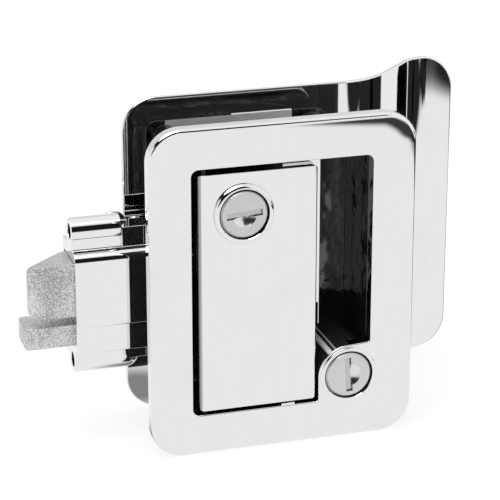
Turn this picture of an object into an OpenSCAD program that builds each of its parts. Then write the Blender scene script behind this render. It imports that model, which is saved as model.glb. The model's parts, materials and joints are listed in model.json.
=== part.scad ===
// Entry door lock for a travel trailer: outside bezel with a pull handle and two key cylinders,
// latch case with a slam latch and a deadbolt, and an inside plate flared into a pull grip.
// Millimetres. The origin is the middle of the bezel's back face, on the door's outer skin.
// +X is right seen from outside, +Y goes into the door, +Z is up.

/* [Door] */
// Thickness of the door between the bezel and the inside plate
door_t = 38; // [36:0.5:48]

/* [Bezel] */
// Width of the bezel
bezel_w = 94.2; // [92:0.2:110]
// Height of the bezel
bezel_h = 117; // [115:0.5:132]
// Thickness of the bezel
bezel_t = 4.8; // [4.4:0.1:7]
// Corner radius of the bezel
bezel_corner = 11.5; // [6:0.5:13]
// Rounding of the bezel's front edge
bezel_edge = 1.2; // [0.6:0.1:2]
// Width of the opening
opening_w = 63.9; // [62:0.1:68]
// Height of the opening
opening_h = 88.2; // [84:0.2:92]
// Sideways offset of the opening
opening_shift = -0.45; // [-1:0.05:1]
// Corner radius of the opening
opening_corner = 2.5; // [1.5:0.1:4]
// Depth of the rim that takes the pocket housing
rim_depth = 3; // [2:0.5:6]
// Wall of that rim
rim_t = 1.4; // [1:0.1:2]
// Thickness of the weather gasket
gasket_t = 1.2; // [0.8:0.1:2]
// Width of the gasket
gasket_w = 6; // [4:0.5:7]
// Bezel edge left outside the gasket
gasket_inset = 1.6; // [1:0.1:2.5]

/* [Pocket] */
// Depth of the finger pocket behind the door skin
pocket_depth = 24; // [20:0.5:26]
// Wall of the pocket housing
pocket_wall = 1.6; // [1.2:0.1:2]
// Radius of the screw posts
post_r = 4; // [3.5:0.1:5]
// Room left between the posts and the inside plate
post_short = 2.5; // [2.2:0.1:4]

/* [Handle] */
// Gap round the handle
handle_gap = 2; // [1.5:0.1:2.5]
// Gap under the handle
handle_gap_low = 1.4; // [1.2:0.1:2.5]
// Width of the handle
handle_w = 42.3; // [38:0.1:42.5]
// Thickness of the handle's face
handle_t = 3.2; // [2.6:0.1:4]
// Corner radius of the handle's outline
handle_corner = 2; // [1:0.1:4]
// Radius of the hinge barrel
barrel_r = 2.8; // [2.6:0.1:3.4]
// Radius of the hinge pin
pin_r = 1; // [0.8:0.05:1.2]
// How far the pin goes into the bezel
pin_in = 4; // [2.5:0.5:6]
// Thickness of the finger lip and skirts
lip_t = 2.2; // [1.6:0.1:3]
// Depth of the finger lip and skirts behind the face
lip_depth = 2.6; // [1.5:0.1:3]
// Rounding of the lip's front edge
lip_edge = 1.5; // [0.8:0.1:2]
// Length of the drive arm from the hinge axis
arm_len = 22.1; // [20:0.1:23]
// Lean of the drive arm at rest
arm_lean = 5; // [3:0.5:8]
// Thickness of the drive arm
arm_t = 3; // [2.5:0.1:3.6]
// Height of the drive arm
arm_h = 8; // [6:0.5:10]
// Radius of the drive arm's tip
arm_tip_r = 2; // [1.6:0.1:2.4]
// Full pull of the handle in degrees
pull_deg = 40; // [35:1:42]
// Free play between the drive arm and the latch slide
drive_gap = 0.7; // [0.5:0.05:1]
// Wire radius of the handle spring
torsion_wire = 0.28; // [0.2:0.02:0.32]
// Turns of the handle spring
torsion_turns = 12; // [6:1:16]
// Height of the handle spring's coil
torsion_h = 12; // [9:0.5:14]
// Length of the handle spring's legs
torsion_leg = 9; // [7:0.5:11]

/* [Key cylinders] */
// Radius of the plug's head
plug_face_r = 8.7; // [8.4:0.05:8.8]
// Bevel round the plug's face
plug_bevel = 0.75; // [0.2:0.05:0.8]
// Width of the dark groove round the plug
plug_groove = 0.25; // [0.2:0.05:0.5]
// Depth of that groove
groove_depth = 1.2; // [0.8:0.1:1.6]
// Radius of the sleeve
sleeve_r = 9.5; // [9.3:0.05:9.8]
// Radius of the plug's barrel
plug_r = 6.5; // [5.5:0.1:6.8]
// Depth of the plug's head
plug_head = 2.6; // [2:0.1:3.4]
// Length of the keyway
keyway_l = 12.5; // [10:0.1:14]
// Width of the keyway
keyway_w = 2.3; // [1.8:0.1:2.8]
// Depth of the keyway down to its dust shutter
keyway_depth = 0.8; // [0.5:0.1:1.2]
// Thickness of the dust shutter
shutter_t = 0.6; // [0.4:0.1:0.8]
// Length of the key slot behind the shutter
key_slot_l = 9.4; // [8:0.1:10]
// Width of the key slot
key_slot_w = 1.9; // [1.6:0.1:2.2]
// Depth of the key slot
key_slot_depth = 6.5; // [5:0.5:6.5]
// Turn of the keyways at rest, in degrees
key_rest = 4; // [0:1:8]
// Radius of the half-moon scoop
scoop_r = 4.4; // [3.5:0.1:5.2]
// Depth of the half-moon scoop
scoop_depth = 1.6; // [1:0.1:2]
// Radius of the upper cylinder's raised rim
upper_rim_r = 10.6; // [10.4:0.1:11.6]
// Height of the upper cylinder's rim
upper_rim_h = 1.6; // [1:0.1:2]
// Rounding of the upper cylinder's rim
upper_rim_round = 1.5; // [0.6:0.1:1.6]
// Radius of the lower cylinder's rim
lower_rim_r = 10.2; // [10:0.05:10.8]
// Height of the lower cylinder's rim
lower_rim_h = 0.6; // [0.4:0.1:1.2]
// Rounding of the lower cylinder's rim
lower_rim_round = 0.5; // [0.2:0.1:0.6]
// How far the plug's face lies below the rim
plug_sink = 0.3; // [0.1:0.05:0.5]
// Radius of the lower cylinder's boss
boss_r = 11; // [10.8:0.05:11.2]
// Slope of the corner block's top beside the boss, in degrees
block_slope = 3.5; // [0:0.5:4]
// Fillet where the corner block meets the opening
block_fillet = 0.9; // [0.4:0.1:0.9]
// Upper cylinder's axis from the handle's left edge
upper_in = 16; // [15.5:0.1:20]
// Upper cylinder's axis from the handle's top
upper_down = 14.4; // [14:0.1:18]
// Lower cylinder's axis from the opening's right edge
lower_in = 7.8; // [7:0.1:8]
// Lower cylinder's axis from the opening's bottom
lower_up = 8.8; // [8:0.1:11]
// Length of the upper cylinder behind the handle's face
upper_len = 13.8; // [12:0.1:15]
// Thickness of the lock nuts
nut_t = 2.5; // [2:0.1:3]
// Length of the upper lock's cam from its axis
lock_cam_len = 16; // [12:0.5:18]
// Thickness of that cam
lock_cam_t = 2; // [1.5:0.1:2.5]

/* [Latch case] */
// Reach of the case's end from the origin
case_reach = 68.6; // [64:0.2:74]
// Depth of the case's front face
case_front = 12.5; // [11:0.1:13]
// Wall in front of the bolts
case_wall = 1.3; // [1:0.1:1.8]
// Rounding along the top of the front face
case_round = 3.5; // [2:0.1:3.5]
// Depth of the screw tubes' axes
tube_depth = 21; // [20:0.1:23]
// Radius of the screw tubes
tube_r = 4.6; // [4.2:0.1:4.8]
// Radius of the edge screw holes
tube_hole_r = 2.7; // [1.8:0.1:2.8]
// Depth of the edge screw holes
tube_hole_depth = 15; // [10:0.5:16]
// Length of the upper tube
upper_tube_l = 17.4; // [16:0.2:20]
// Length of the lower tube to its round end
lower_tube_l = 18.5; // [12:0.5:20]
// Distance between the two tubes
tube_spacing = 47.1; // [46:0.1:50]
// Height of the upper tube
upper_tube_z = 18.4; // [18:0.1:20]
// Thickness of the case's cover
cover_t = 1.2; // [1:0.1:1.8]

/* [Latch bolt] */
// Height of the latch bolt
latch_h = 19; // [16:0.2:20]
// Top of the latch bolt
latch_top = 8.75; // [8:0.05:9]
// Depth of the latch bolt
latch_d = 14.3; // [13.8:0.1:14.6]
// Reach of the latch bolt beyond the case
latch_out = 15.6; // [14:0.1:17]
// Depth of the latch bolt's tip
latch_tip = 4.6; // [3:0.1:6]
// Length of the bevel along the bolt
latch_bevel = 10.6; // [9:0.1:12]
// Flat cut off the latch bolt's outer corner
latch_nose = 1.6; // [0.6:0.1:2]
// Corners cut off the latch bolt's end, above and below
latch_corner = 2; // [0.5:0.1:3]
// Rounding of the bevel's long edges
latch_round = 3.4; // [1:0.1:4]
// Length of the bolt inside the case
latch_in = 16.6; // [15:0.2:17]
// Radius of the latch spring's coil
spring_r = 2.9; // [2.5:0.1:3.1]
// Wire radius of the latch spring
spring_wire = 0.45; // [0.3:0.05:0.5]
// Turns of the latch spring
spring_turns = 11; // [8:1:14]
// Length of the spring inside the bolt
spring_in = 12; // [10:0.5:13]

/* [Deadbolt] */
// Height of the deadbolt
dead_h = 7.7; // [6:0.1:7.8]
// Top of the deadbolt
dead_top = -13.4; // [-14:0.1:-13.2]
// Depth of the deadbolt
dead_d = 13; // [12.6:0.1:13.2]
// Reach of the deadbolt beyond the case
dead_out = 17.4; // [15:0.1:18]
// Length of the deadbolt inside the case
dead_in = 15.4; // [14:0.2:15.6]
// Length of the crank
crank_len = 12; // [11:0.1:12.2]
// Radius of the crank's pin
crank_pin_r = 2; // [1.6:0.1:2.2]
// Free play of the crank's pin on each side of its slot
yoke_gap = 0.7; // [0.5:0.05:0.8]

/* [Slides] */
// Thickness of the latch and deadbolt slides
slide_t = 2.4; // [2:0.1:2.6]
// Height of the latch slide
latch_slide_h = 8; // [6:0.5:8]
// Height of the deadbolt slide
dead_slide_h = 5; // [4:0.2:5.4]
// Thickness of the tabs on the latch slide
tab_t = 3; // [2:0.1:3.2]
// Room behind the pocket housing for the slides
slide_room = 1; // [0.6:0.1:1.2]
// Radius of the rivets
rivet_r = 1.4; // [1:0.1:1.6]

/* [Inside plate] */
// Height of the inside plate
plate_h = 116.3; // [112:0.1:130]
// Left edge of the inside plate from the origin
plate_left = 45.6; // [44:0.2:52]
// Right edge of the flared lip from the origin
plate_right = 87; // [84:0.5:95]
// Thickness of the inside plate
plate_t = 1.6; // [1.2:0.1:2]
// Corner radius of the inside plate
plate_corner = 12.5; // [8:0.5:13]
// Where the flare starts
flare_start = 35; // [34.5:0.1:38]
// Height of the flare above the door
flare_rise = 24.8; // [20:0.2:28]
// Radius of the flare's first bend
flare_bend_in = 27; // [20:0.5:28]
// Radius of the flare's second bend
flare_bend_out = 14; // [10:0.5:15]
// Slope of the flare in degrees
flare_deg = 45; // [42:1:48]

/* [Inside lever] */
// Lever's axis from the origin
lever_x = 14; // [12:0.2:16]
// Height of the lever's axis
lever_z = 15; // [14.5:0.1:17]
// Length of the cam that draws the latch
lever_cam_len = 16.1; // [15.5:0.1:17]
// Thickness of that cam
lever_cam_t = 3; // [2:0.1:3.2]
// Radius of that cam's tip
lever_tip_r = 2; // [1.6:0.1:2.2]
// Radius of the lever's spindle
spindle_r = 4; // [3.6:0.1:4.4]
// Length of the lever
lever_len = 52; // [44:0.5:54]
// Radius of the lever's hub
lever_hub_r = 8.5; // [7.5:0.1:9]
// Height of the lever's hub
lever_hub_h = 8.6; // [8:0.1:10]
// Thickness of the lever's blade
lever_t = 4.4; // [3.5:0.1:5]
// Radius of the lever's round end
lever_end_r = 6.2; // [5:0.1:7]
// How far the lever's end curves away from the door
lever_curve = 7; // [3:0.5:9]

/* [Thumb turn] */
// Radius of the thumb turn's disc
thumb_r = 9.5; // [8:0.1:11]
// Height of the thumb turn's wing
wing_h = 10.5; // [8:0.5:13]
// Thickness of the wing
wing_t = 4.5; // [3.5:0.1:6]
// Radius of the thumb turn's neck
neck_r = 5; // [4.6:0.1:5.4]
// Width of the tailpiece
tail_w = 6; // [5:0.1:6.2]
// Thickness of the tailpiece
tail_t = 2.2; // [1.8:0.1:2.4]

/* [Fits] */
// Clearance of pins and shafts that turn
run_gap = 0.05; // [0.02:0.01:0.1]
// Clearance of bolts that slide
slide_gap = 0.2; // [0.15:0.05:0.3]
// Clearance of pieces that stay put
seat_gap = 0.02; // [0.01:0.01:0.04]
// Clearance between pieces that pass each other
pass_gap = 0.6; // [0.4:0.05:0.8]

/* [Hidden] */
$fn = 48;

// Small sizes shared by several pieces
cut = 1;
arc_steps = 10;
chamfer = 0.4;
screw_r = 1.75;
screw_head_r = 3.6;
screw_head_h = 2;
small_screw_r = 1.4;
small_head_r = 2.5;
small_head_h = 1.4;
rivet_head_h = 0.9;

// Outline of the opening and of the pocket housing
open_x0 = opening_shift - opening_w / 2;
open_x1 = opening_shift + opening_w / 2;
open_z = opening_h / 2;
face_y = -bezel_t;
back_y = pocket_depth + pocket_wall;
house_x0 = open_x0 - pocket_wall;

// Depths of the layers behind the pocket
slide_y0 = back_y + slide_room;
slide_y1 = slide_y0 + slide_t;
cover_y = slide_y1 + rivet_head_h + pass_gap;
crank_y0 = slide_y1 + pass_gap;
crank_y1 = crank_y0 + slide_t;
lever_cam_y0 = slide_y1 + slide_room;
lever_cam_y1 = lever_cam_y0 + lever_cam_t;
plate_y = door_t;
inside_y = plate_y + plate_t;
post_y = plate_y - post_short;

// Handle and its hinge
handle_x0 = open_x0 + handle_gap;
handle_x1 = handle_x0 + handle_w;
handle_z = open_z - handle_gap;
handle_low = handle_gap_low - open_z;
hinge_x = handle_x0 + barrel_r;
hinge_y = face_y + barrel_r;
handle_back = face_y + handle_t;
lip_y = handle_back + lip_depth;
arm_tip_x = hinge_x - arm_len * sin(arm_lean);
latch_travel = arm_len * (sin(pull_deg - arm_lean) + sin(arm_lean));
torsion_r = pin_r + pass_gap / 2 + torsion_wire;
torsion_hole_r = torsion_r + torsion_wire + run_gap * 4;
torsion_z = arm_h / 2 + 4;

// Key cylinders
upper_x = handle_x0 + upper_in;
upper_z = handle_z - upper_down;
lower_x = open_x1 - lower_in;
lower_z = -open_z + lower_up;
handle_boss_r = sleeve_r + 2;
handle_boss_y = lip_y + 0.6;
upper_end = face_y + upper_len;
lower_seat = 6;
lower_web = 2;
lower_thread_r = sleeve_r - 1.5;
lower_end = lower_seat + lower_web + nut_t + 4;
lock_square = 6;
shutter_edge = keyway_w / 2 - 0.3;

// Latch case
case_x = -case_reach;
case_x1 = house_x0;
case_end_t = 2;
step_z = -14.2;
lower_z0 = -24;
lower_step = 0.6;
block_z = 19.3;
block_y = 17;
block_foot = case_front + case_round + 0.2;
case_top_z = 12.3;
lower_tube_z = upper_tube_z - tube_spacing;
block_back = 25.4;
back_top = 13.4;
ear_x = -52.2;
ear_z = 17.7;
ear_r = 4.8;
ear_t = 1.6;
latch_y = case_front + case_wall + slide_gap;
dead_y = case_front + lower_step + case_wall + slide_gap;
cover_screw_outer = 7;
cover_screw_inner = 6;
cover_screw_x = [case_x + cover_screw_outer, case_x1 - cover_screw_inner];
cover_screw_z = [(back_top + latch_top + slide_gap) / 2, lower_tube_z + small_head_r];
cover_screw_in = 5.5;
case_screw_y = 20;
case_screw_z = [block_z - 3.3, lower_z0 - 2.3];
case_screw_in = 10;

// Latch bolt, its spring and its slide
latch_bottom = latch_top - latch_h;
latch_x = case_x - latch_out;
latch_x1 = case_x + latch_in;
spring_y = latch_y + 5.5;
spring_z = latch_top - latch_h / 2;
spring_hole_r = spring_r + spring_wire + 0.25;
spring_x0 = latch_x1 - spring_in;
spring_x1 = case_x1 - case_end_t;
slide_in = 12;
latch_tab_x = arm_tip_x + arm_tip_r + drive_gap;
tab_front = hinge_y + arm_len * cos(pull_deg - arm_lean) - arm_tip_r;
lever_half = asin(latch_travel / (2 * lever_cam_len));
lever_tip_x = lever_x - lever_cam_len * sin(lever_half);
lever_tab_x = lever_tip_x + lever_tip_r + drive_gap;
lever_tab_y = lever_cam_y1 + pass_gap;
lever_tab_top = lever_z - lever_cam_len * cos(lever_half) + 0.5;

// Deadbolt, its crank and its slide
dead_bottom = dead_top - dead_h;
dead_x = case_x - dead_out;
dead_x1 = case_x + dead_in;
dead_mid = dead_top - dead_h / 2;
crank_deg = 45;
crank_pin_x = lower_x - crank_len * sin(crank_deg);
crank_pin_z = lower_z + crank_len * cos(crank_deg);
yoke_half = crank_pin_r + yoke_gap;
yoke_wall = 2.2;
yoke_low = crank_pin_z - crank_pin_r - yoke_gap;
yoke_high = lower_z + crank_len + crank_pin_r + yoke_gap;
yoke_foot = 2;

// Inside plate
flare_run = (flare_rise - (flare_bend_in + flare_bend_out) * (1 - cos(flare_deg))) / sin(flare_deg);
flare_x1 = flare_start + flare_bend_in * sin(flare_deg);
flare_x2 = flare_x1 + flare_run * cos(flare_deg);
flare_x3 = flare_x2 + flare_bend_out * sin(flare_deg);
post_in = 4.1;
post_in_left = 5.4;
post_in_right = 4.5;
post_from_lock = 21.7;
post_places = [
    [open_x0 + post_in_left, open_z - post_in], [open_x1 - post_in_right, open_z - post_in],
    [open_x0 + post_in_left, -open_z + post_in], [lower_x - post_from_lock, -open_z + post_in]
];

// Inside lever and thumb turn
bush_wall = 2.5;
bush_flange = 2.6;
bush_t = 1.4;
bush_in = 1.1;
bush_y = inside_y + bush_t;
journal_r = spindle_r - 1;
journal_boss_r = journal_r + 2.5;
journal_end = slide_y1 + slide_room / 2;
spindle_square = 5.6;
lever_y0 = bush_y + 0.3;
lever_y1 = lever_y0 + lever_hub_h;
clip_y = plate_y - bush_in - 0.9;
clip_t = 0.7;
clip_groove = 0.6;
thumb_y = bush_y + 0.3;
wing_y = thumb_y + 2.5;
tail_end = wing_y + 4;

function arc(x, y, r, from, to) =
    [for (i = [0:arc_steps]) [x + r * cos(from + (to - from) * i / arc_steps),
                              y + r * sin(from + (to - from) * i / arc_steps)]];

// Points and faces of a round wire that follows a path, with its section turned from an axis
function unit(v) = v / norm(v);
function wire_points(path, r, sides, axis) = [
    for (i = [0:len(path) - 1])
        let (ahead = unit(path[min(i + 1, len(path) - 1)] - path[max(i - 1, 0)]),
             across = unit(cross(ahead, axis)),
             up = cross(across, ahead))
        for (k = [0:sides - 1])
            path[i] + r * (cos(360 * k / sides) * across + sin(360 * k / sides) * up)
];
function wire_faces(rings, sides) = concat(
    [[for (k = [0:sides - 1]) k]],
    [for (i = [0:rings - 2], k = [0:sides - 1])
        [i * sides + k, (i + 1) * sides + k,
         (i + 1) * sides + (k + 1) % sides, i * sides + (k + 1) % sides]],
    [[for (k = [sides - 1:-1:0]) (rings - 1) * sides + k]]
);

module wire(path, r, axis) {
    sides = 8;
    polyhedron(wire_points(path, r, sides, axis), wire_faces(len(path), sides));
}

// Boxes and rods by their limits, and outlines pushed through along an axis
module box(x0, x1, y0, y1, z0, z1) {
    translate([x0, y0, z0]) cube([x1 - x0, y1 - y0, z1 - z0]);
}

module rod_x(y, z, r, x0, x1) {
    translate([x0, y, z]) rotate([0, 90, 0]) cylinder(r = r, h = x1 - x0);
}

module rod_y(x, z, r, y0, y1) {
    translate([x, y0, z]) rotate([-90, 0, 0]) cylinder(r = r, h = y1 - y0);
}

module rod_z(x, y, r, z0, z1) {
    translate([x, y, z0]) cylinder(r = r, h = z1 - z0);
}

// A front view outline, from one depth to another
module slab(y0, y1) {
    translate([0, y1, 0]) rotate([90, 0, 0]) linear_extrude(y1 - y0) children();
}

// A side view outline, whose points are depth and height
module bar(x0, x1) {
    translate([x0, 0, 0]) rotate([90, 0, 90]) linear_extrude(x1 - x0) children();
}

// A half section of radius and depth, turned about an axis that runs into the door
module turned(x, z) {
    translate([x, 0, z]) rotate([-90, 0, 0]) rotate_extrude() children();
}

module round_rect(x0, x1, z0, z1, r) {
    translate([x0 + r, z0]) square([x1 - x0 - 2 * r, z1 - z0]);
    translate([x0, z0 + r]) square([x1 - x0, z1 - z0 - 2 * r]);
    for (x = [x0 + r, x1 - r], z = [z0 + r, z1 - r])
        translate([x, z]) circle(r = r);
}

module opening_outline(grow) {
    round_rect(open_x0 - grow, open_x1 + grow, -open_z - grow, open_z + grow, opening_corner + grow);
}

module bezel_outline(shrink) {
    round_rect(-bezel_w / 2 + shrink, bezel_w / 2 - shrink, -bezel_h / 2 + shrink, bezel_h / 2 - shrink,
               bezel_corner - shrink);
}

// Screws and rivets that point towards the outside, with their heads inside the trailer
module screw_y(x, z, r, head_r, head_h, y0, seat) {
    rod_y(x, z, r, y0, seat);
    turned(x, z) polygon([
        [0, seat], [head_r, seat], [head_r, seat + head_h / 2], [head_r - head_h / 2, seat + head_h],
        [0, seat + head_h]
    ]);
}

// Bezel
module bezel_section() {
    polygon(concat(
        [[0, 0], [0, -bezel_t]],
        arc(bezel_corner - bezel_edge, face_y + bezel_edge, bezel_edge, 270, 360),
        [[bezel_corner, 0]]
    ));
}

module bezel_side(turn, reach, half) {
    rotate([0, turn, 0]) translate([reach, 0, -half]) linear_extrude(2 * half) bezel_section();
}

module bezel_plate() {
    half_w = bezel_w / 2 - bezel_corner;
    half_h = bezel_h / 2 - bezel_corner;
    box(-half_w, half_w, face_y, 0, -half_h, half_h);
    for (turn = [0, 180])
        bezel_side(turn, half_w, half_h);
    for (turn = [90, 270])
        bezel_side(turn, half_h, half_w);
    corners = [[half_w, -half_h, 0], [-half_w, -half_h, 90], [-half_w, half_h, 180], [half_w, half_h, 270]];
    for (place = corners)
        translate([place[0], 0, place[1]]) rotate([0, place[2], 0])
            rotate([-90, 0, 0]) rotate_extrude(angle = 90) bezel_section();
}

module exterior_bezel() {
    color("gainsboro") difference() {
        union() {
            difference() {
                union() {
                    bezel_plate();
                    slab(-cut, rim_depth) opening_outline(pocket_wall + seat_gap + rim_t);
                }
                slab(face_y - cut, rim_depth + cut) difference() {
                    opening_outline(0);
                    corner_block();
                }
                slab(0, rim_depth + cut) opening_outline(pocket_wall + seat_gap);
            }
            rod_y(lower_x, lower_z, boss_r, face_y, pocket_depth);
        }
        rod_y(lower_x, lower_z, lower_thread_r + seat_gap, face_y - cut, pocket_depth + cut);
        rod_y(lower_x, lower_z, sleeve_r + seat_gap, face_y - cut, lower_seat);
        rod_y(lower_x, lower_z, sleeve_r + seat_gap, lower_seat + lower_web, pocket_depth + cut);
        for (z0 = [open_z - cut, -open_z - pin_in])
            rod_z(hinge_x, hinge_y, pin_r + seat_gap, z0, z0 + pin_in + cut);
        slab(-gasket_t, cut) gasket_outline(seat_gap);
    }
}

// The corner of the bezel that carries the lower cylinder, with its flats just inside the boss
module corner_block() {
    r = boss_r - 2 * seat_gap;
    left = lower_x - r;
    start = [lower_x - r * sin(block_slope), lower_z + r * cos(block_slope)];
    top = start[1] + (open_x1 - start[0]) * tan(block_slope);
    polygon([
        [left, lower_z], [left, -open_z - cut], [open_x1 + cut, -open_z - cut], [open_x1 + cut, top],
        [open_x1, top], start, [lower_x, lower_z]
    ]);
    block_corner(open_x1, top, block_slope);
    block_corner(left, -open_z, 0);
}

// A small fillet to the left of an upright edge, above a floor with a slope
module block_corner(x, z, slope) {
    r = block_fillet;
    middle = [x - r, z - r * tan(slope) + r / cos(slope)];
    foot = middle + r * [sin(slope), -cos(slope)];
    difference() {
        polygon([middle, foot, foot - [0, cut], [x + cut, foot[1] - cut], [x + cut, middle[1]]]);
        translate(middle) circle(r = r);
    }
}

module gasket_outline(grow) {
    difference() {
        bezel_outline(gasket_inset - grow);
        bezel_outline(gasket_inset + gasket_w + grow);
    }
}

module bezel_gasket() {
    color("black") slab(-gasket_t, 0) gasket_outline(0);
}

// Pocket housing
module pocket_housing() {
    slot_x0 = latch_tab_x - pass_gap;
    slot_x1 = latch_tab_x + tab_t + latch_travel + pass_gap;
    slot_z = latch_slide_h / 2 + pass_gap;
    color("dimgray") difference() {
        union() {
            difference() {
                slab(0, back_y) opening_outline(pocket_wall);
                slab(-cut, pocket_depth) opening_outline(0);
                rod_y(lower_x, lower_z, boss_r + seat_gap, -cut, pocket_depth);
            }
            for (place = post_places)
                rod_y(place[0], place[1], post_r, pocket_depth + pocket_wall / 2, post_y);
            rod_y(lever_x, lever_z, journal_boss_r, pocket_depth + pocket_wall / 2, journal_end);
        }
        box(slot_x0, slot_x1, pocket_depth - cut, back_y + cut, -slot_z, slot_z);
        rod_y(lower_x, lower_z, tail_w / 2 + 1, pocket_depth - cut, back_y + cut);
        for (place = post_places)
            rod_y(place[0], place[1], screw_r + seat_gap, back_y + cut, post_y + cut);
        rod_y(lever_x, lever_z, journal_r + run_gap, back_y, journal_end + cut);
        for (z = case_screw_z)
            rod_x(case_screw_y, z, small_screw_r + seat_gap, house_x0 - cut, open_x0 + cut);
    }
}

// Handle
module handle_section() {
    back_deg = asin((handle_back - hinge_y) / barrel_r);
    polygon(concat(
        arc(hinge_x, hinge_y, barrel_r, back_deg, 180),
        arc(hinge_x, hinge_y, barrel_r, 198, 270),
        arc(handle_x1 - lip_edge, face_y + lip_edge, lip_edge, 270, 360),
        [[handle_x1, lip_y - chamfer], [handle_x1 - chamfer, lip_y],
         [handle_x1 - lip_t, lip_y], [handle_x1 - lip_t, handle_back]]
    ));
}

module handle_arm() {
    translate([hinge_x, hinge_y, -arm_h / 2]) rotate([0, 0, arm_lean]) {
        translate([-arm_t / 2, 0, 0]) cube([arm_t, arm_len, arm_h]);
        translate([0, arm_len, 0]) cylinder(r = arm_tip_r, h = arm_h);
    }
}

module paddle_handle() {
    skirt_z = handle_z - lip_t;
    color("whitesmoke") difference() {
        union() {
            intersection() {
                union() {
                    translate([0, 0, handle_low]) linear_extrude(handle_z - handle_low) handle_section();
                    for (z = [handle_low, skirt_z])
                        box(hinge_x, handle_x1 - lip_edge, handle_back - cut, lip_y, z, z + lip_t);
                }
                slab(face_y - cut, lip_y + cut)
                    round_rect(handle_x0 - cut / 4, handle_x1 + cut / 4, handle_low, handle_z, handle_corner);
            }
            rod_y(upper_x, upper_z, handle_boss_r, handle_back - cut, handle_boss_y);
            handle_arm();
        }
        rod_z(hinge_x, hinge_y, pin_r + run_gap, handle_low - cut, handle_z + cut);
        rod_z(hinge_x, hinge_y, torsion_hole_r, torsion_z - pass_gap, torsion_z + torsion_h + pass_gap);
        box(hinge_x - torsion_hole_r, hinge_x + torsion_hole_r, hinge_y, lip_y + cut,
            torsion_z - pass_gap, torsion_z + torsion_h + pass_gap);
        box(hinge_x, hinge_x + barrel_r + cut, handle_back, lip_y + cut,
            torsion_z - pass_gap, torsion_z + torsion_h + pass_gap);
        rod_y(upper_x, upper_z, sleeve_r + seat_gap, face_y - cut, handle_boss_y + cut);
    }
}

module hinge_pin() {
    half = open_z + pin_in - pass_gap / 2;
    color("silver") rod_z(hinge_x, hinge_y, pin_r, -half, half);
}

// Torsion spring with one leg behind the handle and one against the pocket's wall
module handle_spring() {
    steps = 14;
    rise = torsion_h - 2 * torsion_wire;
    coil = [for (i = [0:steps * torsion_turns])
        [hinge_x + torsion_r * cos(90 + 360 * i / steps), hinge_y + torsion_r * sin(90 + 360 * i / steps),
         torsion_z + torsion_wire + rise * i / (steps * torsion_turns)]];
    handle_leg = [hinge_x + torsion_leg, handle_back + pass_gap, coil[0][2]];
    pocket_leg = [open_x0 + torsion_wire + pass_gap, hinge_y + torsion_leg, coil[len(coil) - 1][2]];
    color("darkgray") wire(concat([handle_leg], coil, [pocket_leg]), torsion_wire, [0, 0, 1]);
}

// Key cylinders
module sleeve_section(rim_r, rim_h, rim_round, end, thread_r, thread_from) {
    rim_y = face_y - rim_h;
    head_r = plug_face_r + run_gap;
    bore_r = plug_r + run_gap;
    head_y = face_y + plug_head;
    polygon(concat(
        [[head_r, rim_y + chamfer / 2], [head_r + chamfer / 2, rim_y]],
        arc(rim_r - rim_round, rim_y + rim_round, rim_round, 270, 360),
        [[rim_r, face_y], [sleeve_r, face_y], [sleeve_r, thread_from], [thread_r, thread_from],
         [thread_r, end], [bore_r, end], [bore_r, head_y], [head_r, head_y]]
    ));
}

function plug_front(rim_h) = face_y - rim_h + plug_sink;

module keyway_outline(shrink) {
    translate([-keyway_l / 2 + shrink, -keyway_w / 2 + shrink])
        square([keyway_l - 2 * shrink, keyway_w - 2 * shrink]);
}

// A plug with its keyway along X and its scoop below, before it is turned
module plug_blank(rim_h, end) {
    plug_y = plug_front(rim_h);
    head_y = face_y + plug_head - run_gap;
    land_r = plug_face_r - plug_groove;
    ball_r = (scoop_r * scoop_r + scoop_depth * scoop_depth) / (2 * scoop_depth);
    shutter_seat = plug_y + keyway_depth + shutter_t;
    difference() {
        turned(0, 0) polygon([
            [0, plug_y], [land_r - plug_bevel, plug_y], [land_r, plug_y + plug_bevel],
            [land_r, plug_y + groove_depth], [plug_face_r, plug_y + groove_depth], [plug_face_r, head_y],
            [plug_r, head_y], [plug_r, end], [0, end]
        ]);
        slab(plug_y - cut, shutter_seat) keyway_outline(0);
        box(-key_slot_l / 2, key_slot_l / 2, plug_y, plug_y + key_slot_depth,
            -key_slot_w / 2, key_slot_w / 2);
        intersection() {
            translate([0, plug_y + scoop_depth - ball_r, 0]) sphere(r = ball_r);
            box(-scoop_r, scoop_r, plug_y - cut, plug_y + scoop_depth + cut, -scoop_r, 0);
        }
    }
}

// The dust shutter that closes the keyway
module shutter_blank(rim_h) {
    plug_y = plug_front(rim_h);
    slab(plug_y + keyway_depth, plug_y + keyway_depth + shutter_t) difference() {
        keyway_outline(seat_gap);
        translate([-scoop_r, -keyway_w]) square([2 * scoop_r, keyway_w - shutter_edge]);
    }
}

module handle_lock_sleeve() {
    color("gainsboro") turned(upper_x, upper_z)
        sleeve_section(upper_rim_r, upper_rim_h, upper_rim_round, upper_end, sleeve_r - chamfer,
                       upper_end - chamfer);
}

module handle_lock_nut() {
    nut_r = sleeve_r + 3.5;
    color("silver") difference() {
        translate([upper_x, handle_boss_y, upper_z]) rotate([-90, 0, 0])
            cylinder(r = nut_r, h = nut_t, $fn = 6);
        rod_y(upper_x, upper_z, sleeve_r + seat_gap, handle_boss_y - cut, handle_boss_y + nut_t + cut);
    }
}

module handle_lock_plug() {
    square_y = upper_end + 2 * run_gap;
    half = lock_square / 2;
    color("lightgray") difference() {
        translate([upper_x, 0, upper_z]) {
            rotate([0, -key_rest, 0]) plug_blank(upper_rim_h, square_y);
            box(-half, half, square_y - cut, square_y + lock_cam_t, -half, half);
        }
        rod_y(upper_x, upper_z, small_screw_r + seat_gap, face_y + plug_head + 3,
              square_y + lock_cam_t + cut);
    }
}

module handle_lock_shutter() {
    color("lightgray") translate([upper_x, 0, upper_z]) rotate([0, -key_rest, 0])
        shutter_blank(upper_rim_h);
}

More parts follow.
